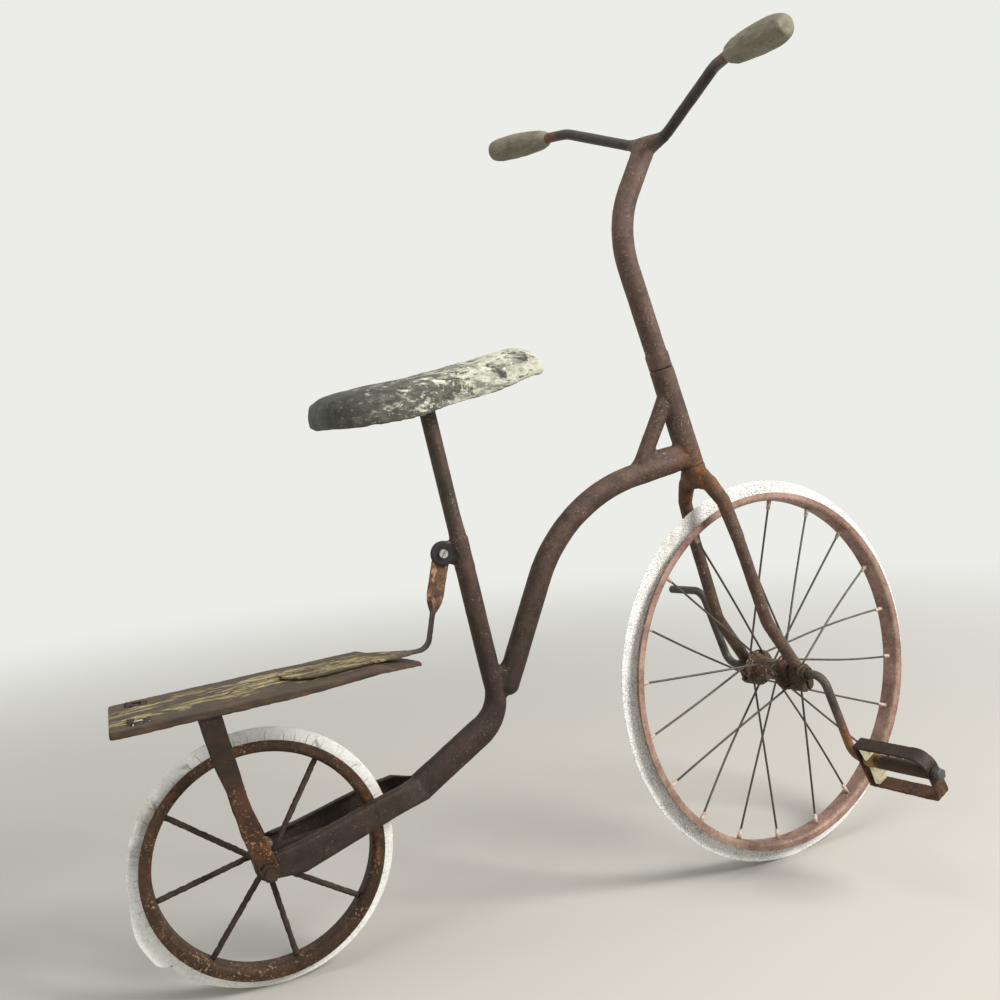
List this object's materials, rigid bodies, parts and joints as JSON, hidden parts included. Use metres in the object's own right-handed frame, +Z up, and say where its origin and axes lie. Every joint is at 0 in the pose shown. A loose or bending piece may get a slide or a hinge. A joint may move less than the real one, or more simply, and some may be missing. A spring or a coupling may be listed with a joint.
{
  "type": "child bicycle",
  "caption": "Front-driven child's velocipede with a large cranked front wheel, gooseneck stem, curved main tube, small trailing rear wheel, saddle and rear footboard.",
  "frame": {"origin": "the point on top of the saddle, in the bicycle's middle plane, where the rider sits", "axes": "+X forward, +Y to the rider's left, +Z up, with the bicycle upright"},
  "size_m": [0.8608, 0.4479, 0.8082],
  "materials": {
    "frame_rust": "worn paint over rust",
    "saddle_cover": "flaking",
    "white_rubber": "cracked white rubber",
    "grip_rubber": "matt",
    "screw_steel": "bright",
    "board_paint": "flaking",
    "strap_rust": "rusted",
    "stay_rust": "rusted",
    "front_rim_rust": "rusted",
    "rear_rim_rust": "rusted",
    "dark_steel": "oxidised",
    "pale_plastic": "broken",
    "black_iron": "dull",
    "pedal_rust": "rusted"
  },
  "bodies": {
    "frame": {"head_tube": "frame_rust", "head_brace": "frame_rust", "main_tube": "frame_rust", "seat_tube": "frame_rust", "joint_web": "frame_rust", "rear_fork_blade_right": "frame_rust", "rear_fork_blade_left": "frame_rust", "seat_post": "frame_rust", "saddle_pan": "frame_rust", "saddle": "saddle_cover", "strap_lug": "black_iron", "strap_screw": "screw_steel", "strap": "strap_rust", "footboard": "board_paint", "footboard_stay_right": "stay_rust", "footboard_stay_left": "stay_rust", "rear_axle": "frame_rust", "rear_axle_nuts": "frame_rust"},
    "steering": {"steerer": "frame_rust", "stem": "frame_rust", "fork_crown": "frame_rust", "fork_blade_right": "frame_rust", "fork_blade_left": "frame_rust", "bearing_block_right": "frame_rust", "bearing_block_left": "frame_rust", "handlebar": "frame_rust", "grip_right": "grip_rubber", "grip_left": "grip_rubber"},
    "front_wheel": {"front_tyre": "white_rubber", "front_rim": "front_rim_rust", "front_hub": "frame_rust", "front_spokes": "dark_steel", "crank_axle": "dark_steel", "pedal_nut": "dark_steel"},
    "pedal": {"pedal_frame": "pedal_rust", "pedal_plate": "pedal_rust", "pedal_remnants": "pale_plastic"},
    "rear_wheel": {"rear_tyre": "white_rubber", "rear_rim": "rear_rim_rust", "rear_hub": "frame_rust", "rear_spokes": "dark_steel"}
  },
  "joints": [
    {"name": "steering_turn", "type": "hinge", "parent": "frame", "child": "steering", "pos_m": [0.29265, 0, -0.06284], "axis": [-0.2543, 0, 0.9671], "range_deg": [-71.75, 48.25]},
    {"name": "front_wheel_spin", "type": "hinge", "parent": "steering", "child": "front_wheel", "pos_m": [0.38558, 0.00424, -0.3362], "axis": [-0.1969, 0.979, -0.0518], "continuous": true},
    {"name": "pedal_spin", "type": "hinge", "parent": "front_wheel", "child": "pedal", "pos_m": [0.42743, -0.13431, -0.41131], "axis": [-0.1969, 0.979, -0.0518], "continuous": true},
    {"name": "rear_wheel_spin", "type": "hinge", "parent": "frame", "child": "rear_wheel", "pos_m": [-0.16, 0, -0.41693], "axis": [0, 1, 0], "continuous": true}
  ]
}
